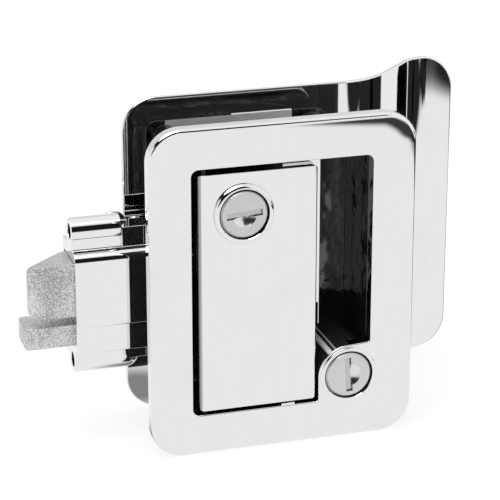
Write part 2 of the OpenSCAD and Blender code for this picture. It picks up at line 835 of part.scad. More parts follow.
module handle_lock_cam() {
    y0 = upper_end + 2 * run_gap;
    half = lock_square / 2 + seat_gap;
    hub_r = plug_r;
    tip_r = 4;
    color("silver") difference() {
        slab(y0, y0 + lock_cam_t) translate([upper_x, upper_z]) {
            circle(r = hub_r);
            translate([-tip_r, -lock_cam_len + tip_r]) square([2 * tip_r, lock_cam_len - tip_r]);
            translate([0, -lock_cam_len + tip_r]) circle(r = tip_r);
        }
        translate([upper_x, 0, upper_z]) box(-half, half, y0 - cut, y0 + lock_cam_t + cut, -half, half);
    }
}

module handle_cam_screw() {
    seat = upper_end + 2 * run_gap + lock_cam_t;
    cam_head_r = lock_square - 1.6;
    color("silver")
        screw_y(upper_x, upper_z, small_screw_r, cam_head_r, small_head_h, face_y + plug_head + 4, seat);
}

module deadbolt_lock_sleeve() {
    color("gainsboro") turned(lower_x, lower_z)
        sleeve_section(lower_rim_r, lower_rim_h, lower_rim_round, lower_end, lower_thread_r,
                       lower_seat - seat_gap);
}

module deadbolt_lock_nut() {
    y0 = lower_seat + lower_web;
    color("silver") difference() {
        rod_y(lower_x, lower_z, sleeve_r, y0, y0 + nut_t);
        rod_y(lower_x, lower_z, lower_thread_r + seat_gap, y0 - cut, y0 + nut_t + cut);
        box(lower_x - sleeve_r, lower_x + sleeve_r, y0 + nut_t / 2, y0 + nut_t + cut,
            lower_z - cut, lower_z + cut);
    }
}

module tail_slot(y0, y1) {
    half_w = tail_w / 2 + seat_gap;
    half_t = tail_t / 2 + seat_gap;
    box(lower_x - half_t, lower_x + half_t, y0, y1, lower_z - half_w, lower_z + half_w);
}

module deadbolt_lock_plug() {
    end = lower_end + 2 * run_gap;
    color("lightgray") difference() {
        translate([lower_x, 0, lower_z]) rotate([0, -90 - key_rest, 0]) plug_blank(lower_rim_h, end);
        tail_slot(lower_seat, end + cut);
    }
}

module deadbolt_lock_shutter() {
    color("lightgray") translate([lower_x, 0, lower_z]) rotate([0, -90 - key_rest, 0])
        shutter_blank(lower_rim_h);
}

module deadbolt_tailpiece() {
    color("silver")
        box(lower_x - tail_t / 2, lower_x + tail_t / 2, lower_seat, tail_end,
            lower_z - tail_w / 2, lower_z + tail_w / 2);
}

module deadbolt_crank() {
    hub_r = tail_w / 2 + 2.5;
    arm_half = crank_pin_r + 1.4;
    color("silver") difference() {
        union() {
            slab(crank_y0, crank_y1) translate([lower_x, lower_z]) rotate(crank_deg) {
                circle(r = hub_r);
                translate([-arm_half, 0]) square([2 * arm_half, crank_len]);
                translate([0, crank_len]) circle(r = arm_half);
            }
            rod_y(crank_pin_x, crank_pin_z, crank_pin_r, slide_y0, crank_y0 + cut);
        }
        tail_slot(crank_y0 - cut, crank_y1 + cut);
    }
}

module thumb_turn() {
    neck_y = plate_y - bush_in;
    half = thumb_r + 0.5;
    end_y = wing_y + wing_h;
    color("gainsboro") difference() {
        union() {
            turned(lower_x, lower_z) polygon([
                [0, neck_y], [neck_r, neck_y], [neck_r, thumb_y], [thumb_r, thumb_y],
                [thumb_r, wing_y - chamfer], [thumb_r - chamfer, wing_y], [0, wing_y]
            ]);
            translate([lower_x - wing_t / 2, 0, lower_z]) bar(0, wing_t) polygon(concat(
                [[wing_y - cut, -half * 0.8], [wing_y + cut, -half]],
                arc(end_y - half / 2, -half / 2, half / 2, -90, 0),
                arc(end_y - half / 2, half / 2, half / 2, 0, 90),
                [[wing_y + cut, half], [wing_y - cut, half * 0.8]]
            ));
        }
        tail_slot(neck_y - cut, tail_end + seat_gap);
    }
}

module bush(x, z, bore_r) {
    outer = bore_r + bush_wall;
    turned(x, z) polygon([
        [bore_r + run_gap, plate_y - bush_in], [outer, plate_y - bush_in], [outer, inside_y],
        [outer + bush_flange, inside_y], [outer + bush_flange, bush_y - chamfer],
        [outer + bush_flange - chamfer, bush_y], [bore_r + run_gap, bush_y]
    ]);
}

module thumb_bush() {
    color("silver") bush(lower_x, lower_z, neck_r);
}

module lever_bush() {
    color("silver") bush(lever_x, lever_z, spindle_r);
}

// Latch case: one side view outline pushed through, with two screw tubes and a round ear
module case_section() {
    polygon(concat(
        [[block_y - 0.4, lower_tube_z], [cover_y, lower_tube_z], [cover_y, back_top], [block_back, back_top],
         [block_back, block_z], [block_y, block_z], [block_y, case_top_z], [block_foot, case_top_z]],
        arc(case_front + case_round, case_top_z - case_round, case_round, 90, 180),
        [[case_front, step_z], [case_front + lower_step, step_z], [case_front + lower_step, lower_z0],
         [block_y - 0.4, lower_z0]]
    ));
}

module latch_case() {
    latch_gap_y = latch_y - slide_gap;
    dead_gap_y = dead_y - slide_gap;
    end_x = case_x1 - case_end_t;
    latch_slot = latch_slide_h / 2 + pass_gap;
    dead_slot = dead_slide_h / 2 + pass_gap;
    color("gainsboro") difference() {
        union() {
            bar(case_x, case_x1) case_section();
            rod_x(tube_depth, upper_tube_z, tube_r, case_x, case_x + upper_tube_l);
            rod_x(tube_depth, lower_tube_z, tube_r, case_x, case_x + lower_tube_l);
            translate([case_x + lower_tube_l, tube_depth, lower_tube_z]) sphere(r = tube_r);
            rod_y(ear_x, ear_z, ear_r, block_back - ear_t / 2, block_back + ear_t / 2);
        }
        box(case_x - cut, end_x, latch_gap_y, cover_y + cut, latch_bottom - slide_gap, latch_top + slide_gap);
        box(case_x - cut, end_x, dead_gap_y, cover_y + cut, dead_bottom - slide_gap, dead_top + slide_gap);
        box(end_x - cut, case_x1 + cut, slide_y0 - pass_gap, cover_y + cut, -latch_slot, latch_slot);
        box(end_x - cut, case_x1 + cut, slide_y0 - pass_gap, cover_y + cut,
            dead_mid - dead_slot, dead_mid + dead_slot);
        for (z = [upper_tube_z, lower_tube_z])
            rod_x(tube_depth, z, tube_hole_r, case_x - cut, case_x + tube_hole_depth);
        for (x = cover_screw_x, z = cover_screw_z)
            rod_y(x, z, small_screw_r + seat_gap, cover_y - cover_screw_in - cut, cover_y + cut);
        for (z = case_screw_z)
            rod_x(case_screw_y, z, small_screw_r + seat_gap, case_x1 - case_screw_in - cut, case_x1 + cut);
    }
}

module latch_case_cover() {
    color("gainsboro") difference() {
        slab(cover_y, cover_y + cover_t) translate([case_x, lower_tube_z])
            square([case_x1 - case_x, back_top - lower_tube_z]);
        for (x = cover_screw_x, z = cover_screw_z)
            rod_y(x, z, small_screw_r + seat_gap, cover_y - cut, cover_y + cover_t + cut);
    }
}

module case_cover_screws() {
    color("silver") for (x = cover_screw_x, z = cover_screw_z)
        screw_y(x, z, small_screw_r, small_head_r, small_head_h, cover_y - cover_screw_in, cover_y + cover_t);
}

// Screws through the pocket's left wall into the end of the case
module case_screws() {
    color("silver") for (z = case_screw_z) {
        rod_x(case_screw_y, z, small_screw_r, case_x1 - case_screw_in, open_x0 + cut / 2);
        rod_x(case_screw_y, z, small_head_r, open_x0, open_x0 + small_head_h);
    }
}

// Latch bolt: a bevelled plan outline, with the bevel's long edges rounded
module latch_plan() {
    back = latch_y + latch_d;
    polygon([
        [latch_x + latch_nose, latch_y], [latch_x1, latch_y], [latch_x1, back], [latch_x + latch_bevel, back],
        [latch_x, latch_y + latch_tip], [latch_x, latch_y + latch_nose]
    ]);
}

// Front view of the latch bolt, with its outer corners cut off
module latch_end() {
    corner = latch_corner + cut;
    polygon([
        [latch_x - cut, latch_top - corner], [latch_x + corner, latch_top + cut], [latch_x1 + cut, latch_top + cut],
        [latch_x1 + cut, latch_bottom - cut], [latch_x + corner, latch_bottom - cut],
        [latch_x - cut, latch_bottom + corner]
    ]);
}

module latch_bolt() {
    back = latch_y + latch_d;
    bevel_deg = atan2(latch_d - latch_tip, latch_bevel);
    deep = 60;
    hole_half = latch_slide_h / 2 + seat_gap;
    color("darkgray") difference() {
        intersection() {
            translate([0, 0, latch_bottom]) linear_extrude(latch_h) latch_plan();
            translate([latch_x, latch_y + latch_tip, 0]) rotate([0, 0, bevel_deg])
                bar(-deep, deep) polygon(concat(
                [[-deep, latch_bottom], [-latch_round, latch_bottom]],
                arc(-latch_round, latch_bottom + latch_round, latch_round, -90, 0),
                arc(-latch_round, latch_top - latch_round, latch_round, 0, 90),
                [[-deep, latch_top]]
            ));
            slab(latch_y - cut, back + cut) latch_end();
        }
        rod_x(spring_y, spring_z, spring_hole_r, spring_x0 - pass_gap, latch_x1 + cut);
        box(latch_x1 - slide_in, latch_x1 + cut, slide_y0, back + cut, -hole_half, hole_half);
        for (x = latch_rivet_x())
            rod_y(x, 0, rivet_r + seat_gap, slide_y0 - slide_t - cut, slide_y0 + cut);
    }
}

function latch_rivet_x() = [latch_x1 - slide_in + 3, latch_x1 - 3];
function dead_rivet_x() = [dead_x1 - slide_in + 3, dead_x1 - 3];

module latch_slide() {
    half = latch_slide_h / 2;
    color("silver") difference() {
        union() {
            box(latch_x1 - slide_in + seat_gap, lever_tab_x + tab_t, slide_y0, slide_y1, -half, half);
            box(latch_tab_x, latch_tab_x + tab_t, tab_front, slide_y0 + cut, -half, half);
            box(lever_tab_x, lever_tab_x + tab_t, slide_y1 - cut, lever_tab_y, -half, lever_tab_top);
        }
        for (x = latch_rivet_x())
            rod_y(x, 0, rivet_r + seat_gap, slide_y0 - cut, slide_y1 + cut);
    }
}

module latch_rivets() {
    color("silver") for (x = latch_rivet_x())
        screw_y(x, 0, rivet_r, rivet_r + 1, rivet_head_h, slide_y0 - slide_t, slide_y1);
}

module latch_spring() {
    steps = 14;
    run = spring_x1 - spring_x0 - 2 * spring_wire - 2 * run_gap;
    coil = [for (i = [0:steps * spring_turns])
        [spring_x0 + spring_wire + run_gap + run * i / (steps * spring_turns),
         spring_y + spring_r * cos(360 * i / steps), spring_z + spring_r * sin(360 * i / steps)]];
    color("darkgray") wire(coil, spring_wire, [1, 0, 0]);
}

// Deadbolt
module deadbolt() {
    back = dead_y + dead_d;
    half = dead_slide_h / 2 + seat_gap;
    nose = 0.8;
    color("darkgray") difference() {
        translate([0, 0, dead_bottom]) linear_extrude(dead_h) polygon([
            [dead_x + nose, dead_y], [dead_x1, dead_y], [dead_x1, back], [dead_x + nose, back],
            [dead_x, back - nose], [dead_x, dead_y + nose]
        ]);
        box(dead_x1 - slide_in, dead_x1 + cut, slide_y0, back + cut, dead_mid - half, dead_mid + half);
        for (x = dead_rivet_x())
            rod_y(x, dead_mid, rivet_r + seat_gap, slide_y0 - slide_t - cut, slide_y0 + cut);
    }
}

module deadbolt_slide() {
    half = dead_slide_h / 2;
    yoke_x0 = crank_pin_x - yoke_half - yoke_wall;
    yoke_x1 = crank_pin_x + yoke_half + yoke_wall;
    color("silver") difference() {
        union() {
            box(dead_x1 - slide_in + seat_gap, yoke_x1, slide_y0, slide_y1, dead_mid - half, dead_mid + half);
            box(yoke_x0, yoke_x1, slide_y0, slide_y1, yoke_low - yoke_foot, dead_mid + half);
        }
        box(crank_pin_x - yoke_half, crank_pin_x + yoke_half, slide_y0 - cut, slide_y1 + cut,
            yoke_low, yoke_high);
        for (x = dead_rivet_x())
            rod_y(x, dead_mid, rivet_r + seat_gap, slide_y0 - cut, slide_y1 + cut);
    }
}

module deadbolt_rivets() {
    color("silver") for (x = dead_rivet_x())
        screw_y(x, dead_mid, rivet_r, rivet_r + 1, rivet_head_h, slide_y0 - slide_t, slide_y1);
}

// Inside plate: a plan section with two bends, trimmed to a rounded outline
function plate_line(grow) = concat(
    [[-plate_left, plate_y + grow]],
    arc(flare_start, plate_y + flare_bend_in, flare_bend_in - grow, -90, -90 + flare_deg),
    arc(flare_x3, plate_y + flare_rise - flare_bend_out, flare_bend_out + grow, 90 + flare_deg, 90),
    [[plate_right, plate_y + flare_rise + grow]]
);

function reversed(list) = [for (i = [len(list) - 1:-1:0]) list[i]];

module interior_plate() {
    color("gainsboro") difference() {
        intersection() {
            translate([0, 0, -plate_h / 2]) linear_extrude(plate_h)
                polygon(concat(plate_line(0), reversed(plate_line(plate_t))));
            slab(plate_y - cut, plate_y + flare_rise + plate_t + cut)
                round_rect(-plate_left, plate_right, -plate_h / 2, plate_h / 2, plate_corner);
        }
        rod_y(lever_x, lever_z, spindle_r + bush_wall + seat_gap, plate_y - cut, inside_y + cut);
        rod_y(lower_x, lower_z, neck_r + bush_wall + seat_gap, plate_y - cut, inside_y + cut);
        for (place = post_places)
            rod_y(place[0], place[1], screw_r + run_gap * 4, plate_y - cut, inside_y + cut);
    }
}

module plate_screws() {
    color("silver") for (place = post_places)
        screw_y(place[0], place[1], screw_r, screw_head_r, screw_head_h, back_y + 2 * cut, inside_y);
}

// Inside lever, its spindle and the cam that draws the latch back
module lever_spindle() {
    half = spindle_square / 2;
    step_y = journal_end + run_gap * 2;
    groove_r = spindle_r - clip_groove;
    color("silver") difference() {
        union() {
            turned(lever_x, lever_z) polygon([
                [0, back_y + run_gap * 4], [journal_r, back_y + run_gap * 4], [journal_r, step_y],
                [spindle_r, step_y], [spindle_r, clip_y], [groove_r, clip_y], [groove_r, clip_y + clip_t],
                [spindle_r, clip_y + clip_t], [spindle_r, lever_y0], [0, lever_y0]
            ]);
            translate([lever_x, 0, lever_z]) box(-half, half, lever_y0 - cut, lever_y1, -half, half);
        }
        rod_y(lever_x, lever_z, small_screw_r + seat_gap, lever_y0, lever_y1 + cut);
    }
}

module lever_cam() {
    hub_r = spindle_r + 2.6;
    arm_half = lever_tip_r - 0.6;
    color("silver") difference() {
        slab(lever_cam_y0, lever_cam_y1) translate([lever_x, lever_z]) rotate(-lever_half) {
            circle(r = hub_r);
            translate([-arm_half, -lever_cam_len]) square([2 * arm_half, lever_cam_len]);
            translate([0, -lever_cam_len]) circle(r = lever_tip_r);
        }
        rod_y(lever_x, lever_z, spindle_r + seat_gap, lever_cam_y0 - cut, lever_cam_y1 + cut);
    }
}

module lever_clip() {
    inner = spindle_r - clip_groove + seat_gap;
    outer = spindle_r + 1.8;
    side = seat_gap / 2;
    color("darkgray") difference() {
        rod_y(lever_x, lever_z, outer, clip_y + side, clip_y + clip_t - side);
        rod_y(lever_x, lever_z, inner, clip_y - cut, clip_y + clip_t + cut);
        box(lever_x - inner * 0.8, lever_x + inner * 0.8, clip_y - cut, clip_y + clip_t + cut,
            lever_z, lever_z + outer + cut);
    }
}

// Plan section of the lever's blade, which curves away from the door towards its end
module lever_plan() {
    low = lever_y0 + 1;
    bend_r = (lever_len * lever_len + lever_curve * lever_curve) / (2 * lever_curve);
    bend_deg = asin(lever_len / bend_r);
    polygon(concat(
        arc(lever_x, low + bend_r, bend_r, -90, -90 - bend_deg),
        arc(lever_x, low + bend_r, bend_r - lever_t, -90 - bend_deg, -90)
    ));
}

module inside_lever() {
    half = spindle_square / 2 + seat_gap;
    end_x = lever_x - lever_len + lever_end_r;
    color("gainsboro") difference() {
        union() {
            turned(lever_x, lever_z) polygon([
                [0, lever_y0], [lever_hub_r, lever_y0], [lever_hub_r, lever_y1 - 2 * chamfer],
                [lever_hub_r - 2 * chamfer, lever_y1], [0, lever_y1]
            ]);
            intersection() {
                translate([0, 0, lever_z - lever_hub_r]) linear_extrude(2 * lever_hub_r) lever_plan();
                slab(lever_y0, lever_y1 + lever_curve + lever_t) {
                    polygon([
                        [lever_x, lever_z - lever_hub_r + chamfer],
                        [lever_x, lever_z + lever_hub_r - chamfer],
                        [end_x, lever_z + lever_end_r], [end_x, lever_z - lever_end_r]
                    ]);
                    translate([end_x, lever_z]) circle(r = lever_end_r);
                }
            }
        }
        translate([lever_x, 0, lever_z]) box(-half, half, lever_y0 - cut, lever_y1 + cut, -half, half);
    }
}

module lever_screw() {
    head_r = spindle_r + 0.6;
    color("silver")
        screw_y(lever_x, lever_z, small_screw_r, head_r, small_head_h, lever_y0 + cut, lever_y1);
}

exterior_bezel();
bezel_gasket();
pocket_housing();
hinge_pin();
handle_spring();
paddle_handle();
handle_lock_sleeve();
handle_lock_nut();
handle_lock_plug();
handle_lock_shutter();
handle_lock_cam();
handle_cam_screw();
deadbolt_lock_sleeve();
deadbolt_lock_nut();
deadbolt_lock_plug();
deadbolt_lock_shutter();
deadbolt_tailpiece();
deadbolt_crank();
thumb_turn();
thumb_bush();
latch_case();
latch_case_cover();
case_cover_screws();
case_screws();
latch_bolt();
latch_slide();
latch_rivets();
latch_spring();
deadbolt();
deadbolt_slide();
deadbolt_rivets();
interior_plate();
plate_screws();
lever_bush();
lever_spindle();
lever_cam();
lever_clip();
inside_lever();
lever_screw();
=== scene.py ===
"""Chrome entry lock of a travel trailer door: finishes, a grip plate and a white studio round its solids."""

import json
import math

import bpy
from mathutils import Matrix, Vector

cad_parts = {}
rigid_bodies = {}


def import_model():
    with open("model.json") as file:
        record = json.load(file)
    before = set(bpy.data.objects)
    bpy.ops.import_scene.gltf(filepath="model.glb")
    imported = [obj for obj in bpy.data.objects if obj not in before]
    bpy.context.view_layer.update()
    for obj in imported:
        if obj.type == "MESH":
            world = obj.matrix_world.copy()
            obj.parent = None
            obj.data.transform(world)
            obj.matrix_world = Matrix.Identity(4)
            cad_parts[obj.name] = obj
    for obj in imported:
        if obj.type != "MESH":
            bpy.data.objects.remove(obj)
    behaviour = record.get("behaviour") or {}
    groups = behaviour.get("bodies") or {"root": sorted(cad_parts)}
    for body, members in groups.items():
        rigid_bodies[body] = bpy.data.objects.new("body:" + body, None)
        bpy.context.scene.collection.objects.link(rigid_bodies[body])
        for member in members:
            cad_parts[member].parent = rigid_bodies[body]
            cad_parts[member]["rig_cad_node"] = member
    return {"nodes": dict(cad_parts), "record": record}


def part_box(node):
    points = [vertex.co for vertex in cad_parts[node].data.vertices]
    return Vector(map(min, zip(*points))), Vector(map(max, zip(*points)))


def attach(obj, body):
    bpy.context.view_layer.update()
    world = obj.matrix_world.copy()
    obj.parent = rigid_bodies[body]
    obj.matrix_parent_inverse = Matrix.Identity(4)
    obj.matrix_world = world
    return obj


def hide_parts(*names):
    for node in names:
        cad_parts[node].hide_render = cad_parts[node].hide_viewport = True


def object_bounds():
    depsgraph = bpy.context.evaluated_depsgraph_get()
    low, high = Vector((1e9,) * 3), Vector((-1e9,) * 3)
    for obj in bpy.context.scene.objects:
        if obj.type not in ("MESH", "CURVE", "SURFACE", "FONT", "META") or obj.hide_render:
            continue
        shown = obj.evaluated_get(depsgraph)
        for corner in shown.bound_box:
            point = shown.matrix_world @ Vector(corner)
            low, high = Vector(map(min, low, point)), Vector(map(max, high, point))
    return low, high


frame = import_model()
cad_low, cad_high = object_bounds()
nodes = frame["nodes"]
body_of_node = {}
for body, members in frame["record"]["behaviour"]["bodies"].items():
    for member in members:
        body_of_node[member] = body

MM = 0.001

# Camera, as fitted to the photograph
VIEW_AZIMUTH = -16.916
VIEW_ELEVATION = 19.808
VIEW_DISTANCE = 702.713 * MM
VIEW_TARGET = Vector((-10.741, 0, 12.745)) * MM
VIEW_LENS = 149.46
SENSOR_WIDTH = 36
NEAREST_SEEN = 10 * MM

# Overhead lamp, in metres and watts
LAMP_PLACE = (-0.35, -0.25, 1.1)
LAMP_SIZE = 0.9
LAMP_WATTS = 9

# Floor, in metres: its width, and how far it lies under the lock
FLOOR_WIDTH = 8
FLOOR_GAP = 0.2 * MM
FLOOR_SHADE = (0.2, 0.2, 0.2)
# How bright the camera sees the floor glow, and how bright floor and studio are in polished faces
FLOOR_GLOW = 0.82
FLOOR_IN_CHROME = 1.0
STUDIO_IN_CHROME = 1.3

# Dark cards round the lock, which only polished faces see: azimuth from the front, elevation, depth of tone
DARK_CARDS = {
    "behind_camera": ((-60, 24), (3, 50), 0.99),
    "high_left": ((-115, -15), (28, 54), 0.99),
    "far_right": ((115, 185), (-5, 45), 0.22),
    "far_left": ((-185, -115), (-5, 45), 0.22),
}
CARD_SOFT = 5
# A dark strip on the floor beside the lock: azimuths round the flare in degrees, and depth of tone
STRIP_CENTRE = (80 * MM, 60 * MM)
STRIP_LIMITS = (66, 96)
STRIP_SOFT = 2
STRIP_DEPTH = 0.98
# Dark bags on the floor, in millimetres: their two ends, radius, softness of the edge and depth of tone
DARK_BAGS = {
    "at_front": ((276, -392), (330, -800), 62, 26, 0.95),
    "at_right": ((310, -300), (311, -300), 86, 14, 0.98),
    "at_side": ((400, -150), (401, -150), 105, 20, 0.98),
    "shade_by_plate": ((-37, 17), (-37, 18), 16, 8, 0.72),
}

# Finishes, and the colours of painted shade and painted reflections
CHROME = (0.80, 0.80, 0.80)
CHROME_FILM = (0.77, 0.77, 0.77)
# Bezel's back: bare casting, painted near black as the shade it lies in against the door
BEZEL_BACK_DARK = (0.055, 0.057, 0.06)
BEZEL_BACK_DARKER = (0.02, 0.02, 0.021)
PALE_CASTING = (0.86, 0.86, 0.85)
PALE_CASTING_LOW = (0.70, 0.70, 0.69)
SATIN_NICKEL = (0.72, 0.72, 0.715)
SATIN_SHADE = (0.62, 0.62, 0.615)
# Keyway shutters, painted darker than the plugs' faces as shade in the recess
SHADED_SHUTTER_NICKEL = (0.62, 0.62, 0.615)
SHUTTER_SHADE = (0.52, 0.52, 0.515)
ZINC = (0.76, 0.76, 0.75)
ZINC_DARK = (0.42, 0.42, 0.415)
STEEL = (0.56, 0.56, 0.55)
STEEL_DULL = (0.40, 0.40, 0.39)
# Black oxide of the hinge pin, also used as painted shade in the keyways and round the plugs
BLACK_OXIDE_AND_SHADE = (0.02, 0.02, 0.021)
BLACK_OXIDE_WORN = (0.05, 0.05, 0.052)
SPRING_WIRE = (0.30, 0.30, 0.31)
SPRING_DARK = (0.16, 0.16, 0.17)
# Painted shade along the handle's rounded hinge side
HINGE_SIDE_SHADE = (0.38, 0.38, 0.38)
# Painted reflection streaks on the boss wall, and the painted shade of that wall
PAINTED_STREAK_BRIGHT = (0.92, 0.92, 0.92)
BOSS_WALL_PAINTED_DARK = (0.02, 0.02, 0.02)
HOUSING_BLACK = (0.008, 0.008, 0.009)
HOUSING_SHEEN = (0.022, 0.022, 0.024)
RUBBER = (0.014, 0.014, 0.014)
RUBBER_DUST = (0.032, 0.032, 0.031)

# How often marks repeat along x, y and z, in counts per metre
WIPING_LINES = (900, 900, 60)
BRUSHED_LINES = (350, 900, 3200)
# Lines that break up the painted reflection streaks
STREAK_BREAKUP_LINES = (900, 40, 900)

# Boss of the lower cylinder, in millimetres: its axis, its radius, and where its wall, painted dark as shade,
# starts
BOSS_MIDDLE = (23.7, -35.3)
BOSS_RADIUS = 11
BOSS_FRONT = -3.8
BOSS_REACH = 0.3
# Painted reflections on that wall, as bright streaks: angles about its axis in degrees, and how bright
PAINTED_REFLECTION_ANGLES = [((122.5, 132), 1), ((114.5, 117), 0.6)]
STREAK_SOFT = 1.2
# Outline of the bezel, and how far in and how deep its face rolls off
BEZEL_ROLL_OFF = {
    "Half Width": 47.1 * MM, "Half Height": 58.5 * MM, "Corner": 11.5 * MM,
    "Reach": 7.5 * MM, "Depth": 0.41 * MM,
}
# Radius in millimetres from which a plug's rim is painted dark, as shade in the gap round it
PLUG_SHADE_FROM = 8.25
# Middle of that painted shade against the plug's axis, set lower so that it shows wider along the top
GAP_SHADE_OFFSET = (-0.05, -0.2)
GAP_SHADE_SOFT = 0.1 * MM
# How far a plug's keyway and scoop reach from its axis, in millimetres
KEYWAY_REACH = 6.8
# Hinge side of the handle's face, and how far in its painted shade reaches, in millimetres
HANDLE_SIDE = -30.6
SIDE_SHADE_REACH = 1.8
# Unpainted strip along the top of the housing's back, in millimetres: where it starts, steps up and ends
BARE_STRIP = (-26.8, -2.1, 20.3)
BARE_TOP_FROM = 24 * MM

# How squarely a face has to point, as the share of its normal along an axis
SQUARE_ON = 0.9
DOOR_SIDE = math.cos(math.radians(20))
WALL_SHARE = 0.3
SCOOP_SHARES = (-0.995, -0.6)

# Grip plate behind the handle's right half, in millimetres: corners of the plate, its cut-outs and its foot
GRIP_PLATE = ((1, 1.05, -44.85), (14.5, 2.4, 43.4))
GRIP_CUTS = [((6, 0, -50), (20, 4, -17.3)), ((9, 0, -30), (14.1, 4, -9.4))]
GRIP_FOOT = ((-0.7, -4.7, -44.85), (4.1, 2.4, -43.3))
GRIP_EDGE = 0.2

# How the solids' triangles are merged, their sharp edges eased and their curves smoothed, angles in degrees
MERGE_WITHIN = 0.002 * MM
FLAT_WITHIN = 0.6
EASED_FROM = 50
EASED_STEPS = 3
SMOOTH_WITHIN = 35
WIRE_SMOOTH_WITHIN = 60
FACE_WEIGHT = 80


# Shader building

COLOUR = "NodeSocketColor"
NUMBER = "NodeSocketFloat"
WHITE = (1, 1, 1, 1)
BLACK = (0, 0, 0, 1)
# Places of a mix node's colour sockets, which share their names with its other sockets
MIX_FIRST = 6
MIX_SECOND = 7
MIX_RESULT = 2


def math_node(tree, operation, first, second=None):
    """One step of arithmetic on numbers or sockets."""
    node = tree.nodes.new("ShaderNodeMath")
    node.operation = operation
    for socket, value in zip(node.inputs, (first, second)):
        if value is None:
            continue
        if isinstance(value, (int, float)):
            socket.default_value = value
        else:
            tree.links.new(value, socket)
    return node.outputs[0]


def length_of(tree, parts):
    squares = [math_node(tree, "MULTIPLY", part, part) for part in parts]
    return math_node(tree, "SQRT", math_node(tree, "ADD", *squares))


def angle_of(tree, first, second):
    return math_node(tree, "DEGREES", math_node(tree, "ARCTAN2", first, second))


def between(tree, share, low, high):
    """A number between two others, at a share of the way."""
    span = math_node(tree, "SUBTRACT", high, low)
    return math_node(tree, "ADD", low, math_node(tree, "MULTIPLY", span, share))


def split_place(tree, place):
    split = tree.nodes.new("ShaderNodeSeparateXYZ")
    tree.links.new(place, split.inputs[0])
    return split.outputs


def object_place(tree, stretch=(1, 1, 1)):
    place = tree.nodes.new("ShaderNodeTexCoord").outputs["Object"]
    mapping = tree.nodes.new("ShaderNodeMapping")
    mapping.inputs["Scale"].default_value = stretch
    tree.links.new(place, mapping.inputs["Vector"])
    return mapping.outputs["Vector"]


def noise(tree, place, scale, detail, rough=0.5):
    texture = tree.nodes.new("ShaderNodeTexNoise")
    texture.inputs["Detail"].default_value = detail
    texture.inputs["Roughness"].default_value = rough
    if isinstance(scale, (int, float)):
        texture.inputs["Scale"].default_value = scale
    else:
        tree.links.new(scale, texture.inputs["Scale"])
    tree.links.new(place, texture.inputs["Vector"])
    return texture.outputs["Fac"]


def remap(tree, value, low, high, to_low=0.0, to_high=1.0):
    """A soft step of a value from one range to another."""
    ramp = tree.nodes.new("ShaderNodeMapRange")
    ramp.interpolation_type = "SMOOTHSTEP"
    ramp.inputs["From Min"].default_value = low
    ramp.inputs["From Max"].default_value = high
    ramp.inputs["To Min"].default_value = to_low
    ramp.inputs["To Max"].default_value = to_high
    tree.links.new(value, ramp.inputs["Value"])
    return ramp.outputs[0]


def soft_band(tree, angle, limits, soft):
    """One between two limits and nothing outside them, with soft ends."""
    start, end = limits
    rise = remap(tree, angle, start - soft, start + soft)
    fall = remap(tree, angle, end + soft, end - soft)
    return math_node(tree, "MULTIPLY", rise, fall)


def blend_colour(tree, mask, first, second):
    mix = tree.nodes.new("ShaderNodeMix")
    mix.data_type = "RGBA"
    tree.links.new(mask, mix.inputs["Factor"])
    tree.links.new(first, mix.inputs[MIX_FIRST])
    tree.links.new(second, mix.inputs[MIX_SECOND])
    return mix.outputs[MIX_RESULT]


# Studio

def aim(thing, target):
    thing.rotation_mode = "QUATERNION"
    thing.rotation_quaternion = (target - thing.location).to_track_quat("-Z", "Y")


def place_camera():
    turn = math.radians(VIEW_AZIMUTH)
    rise = math.radians(VIEW_ELEVATION)
    back = Vector((math.sin(turn) * math.cos(rise), -math.cos(turn) * math.cos(rise), math.sin(rise)))
    bpy.ops.object.camera_add(location=VIEW_TARGET + back * VIEW_DISTANCE)
    camera = bpy.context.object
    camera.name = "photo_camera"
    camera.data.lens = VIEW_LENS
    camera.data.sensor_width = SENSOR_WIDTH
    camera.data.clip_start = NEAREST_SEEN
    aim(camera, VIEW_TARGET)
    bpy.context.scene.camera = camera


def hang_lamp():
    bpy.ops.object.light_add(type="AREA", location=LAMP_PLACE)
    lamp = bpy.context.object
    lamp.name = "soft_overhead"
    lamp.data.shape = "SQUARE"
    lamp.data.size = LAMP_SIZE
    lamp.data.energy = LAMP_WATTS
    aim(lamp, VIEW_TARGET)


def light_world():
    """White all round, in which polished faces alone see the dark cards."""
    world = bpy.data.worlds.new("white_studio")
    bpy.context.scene.world = world
    world.use_nodes = True
    tree = world.node_tree
    tree.nodes.clear()
    place = split_place(tree, tree.nodes.new("ShaderNodeTexCoord").outputs["Generated"])
    azimuth = angle_of(tree, place["X"], math_node(tree, "MULTIPLY", place["Y"], -1))
    elevation = math_node(tree, "DEGREES", math_node(tree, "ARCSINE", place["Z"]))
    tone = STUDIO_IN_CHROME
    for across, up, depth in DARK_CARDS.values():
        columns = soft_band(tree, azimuth, across, CARD_SOFT)
        rows = soft_band(tree, elevation, up, CARD_SOFT)
        card = math_node(tree, "MULTIPLY", math_node(tree, "MULTIPLY", columns, rows), depth)
        tone = math_node(tree, "MULTIPLY", math_node(tree, "SUBTRACT", 1, card), tone)
    path = tree.nodes.new("ShaderNodeLightPath")
    seen = tree.nodes.new("ShaderNodeMix")
    tree.links.new(path.outputs["Is Glossy Ray"], seen.inputs["Factor"])
    seen.inputs["A"].default_value = 1
    tree.links.new(tone, seen.inputs["B"])
    background = tree.nodes.new("ShaderNodeBackground")
    tree.links.new(seen.outputs["Result"], background.inputs["Strength"])
    output = tree.nodes.new("ShaderNodeOutputWorld")
    tree.links.new(background.outputs[0], output.inputs["Surface"])


